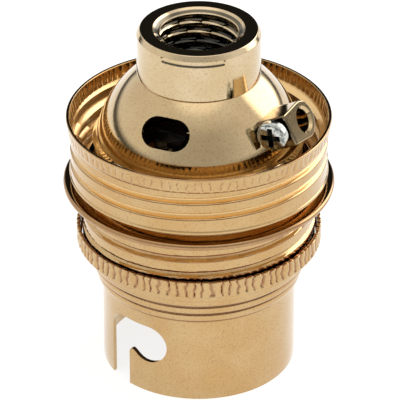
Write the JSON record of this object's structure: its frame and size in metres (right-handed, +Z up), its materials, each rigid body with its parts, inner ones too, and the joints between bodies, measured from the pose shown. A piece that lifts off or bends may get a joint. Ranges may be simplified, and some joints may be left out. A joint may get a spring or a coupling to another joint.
{
  "type": "bayonet lamp holder",
  "caption": "Polished brass bayonet lamp holder with a slotted barrel, flange and two threaded shade rings, domed cap, threaded cord entry, earth terminal and sprung contacts.",
  "frame": {"origin": "centre of the barrel's mouth, where the lamp cap goes in", "axes": "+Z up the holder's axis from the lamp mouth to the threaded cord entry; -Y is the front, +X is to its right"},
  "size_m": [0.0326, 0.0326, 0.0444],
  "materials": {
    "polished_brass": "polished and lacquered",
    "turned_brass": "turned, bare",
    "plated_screw": "nickel plated",
    "spring_steel": "drawn wire",
    "moulded_insulator": "moulded",
    "fibre_washer": "pressed fibre"
  },
  "bodies": {
    "body": {"body_shell": "polished_brass", "seat_washer": "fibre_washer", "insulator_block": "moulded_insulator", "clamp_washer": "fibre_washer", "plunger_plate": "moulded_insulator", "plate_screw": "plated_screw", "left_contact_barrel": "turned_brass", "right_contact_barrel": "turned_brass", "left_plunger_spring": "spring_steel", "right_plunger_spring": "spring_steel"},
    "cap": {"cap_shell": "polished_brass", "cap_nozzle": "polished_brass", "earth_terminal_block": "turned_brass"},
    "earth_screw": {"earth_clamp_screw": "plated_screw"},
    "upper_ring": {"upper_shade_ring": "polished_brass"},
    "lower_ring": {"lower_shade_ring": "polished_brass"},
    "left_plunger": {"left_plunger": "turned_brass"},
    "right_plunger": {"right_plunger": "turned_brass"},
    "left_screw": {"left_terminal_screw": "plated_screw"},
    "right_screw": {"right_terminal_screw": "plated_screw"}
  },
  "joints": [
    {"name": "cap_unscrew", "type": "slide", "parent": "body", "child": "cap", "axis": [0, 0, 1], "range_m": [0, 0.006]},
    {"name": "earth_screw_turn", "type": "slide", "parent": "cap", "child": "earth_screw", "axis": [-0.4384, -0.8988, 0], "range_m": [-0.00065, 0.0015]},
    {"name": "upper_ring_turn", "type": "slide", "parent": "body", "child": "upper_ring", "axis": [0, 0, 1], "range_m": [-0.00093, 0.001]},
    {"name": "lower_ring_turn", "type": "slide", "parent": "body", "child": "lower_ring", "axis": [0, 0, 1], "range_m": [-0.0019, 0.005]},
    {"name": "left_plunger_press", "type": "slide", "parent": "body", "child": "left_plunger", "axis": [0, 0, 1], "range_m": [0, 0.002], "stiffness_N_per_m": 1500, "springref_m": -0.002, "deforming": ["left_plunger_spring"]},
    {"name": "right_plunger_press", "type": "slide", "parent": "body", "child": "right_plunger", "axis": [0, 0, 1], "range_m": [0, 0.002], "stiffness_N_per_m": 1500, "springref_m": -0.002, "deforming": ["right_plunger_spring"]},
    {"name": "left_screw_turn", "type": "slide", "parent": "body", "child": "left_screw", "axis": [0, 0, 1], "range_m": [-0.00085, 0.0015]},
    {"name": "right_screw_turn", "type": "slide", "parent": "body", "child": "right_screw", "axis": [0, 0, 1], "range_m": [-0.00085, 0.0015]}
  ]
}
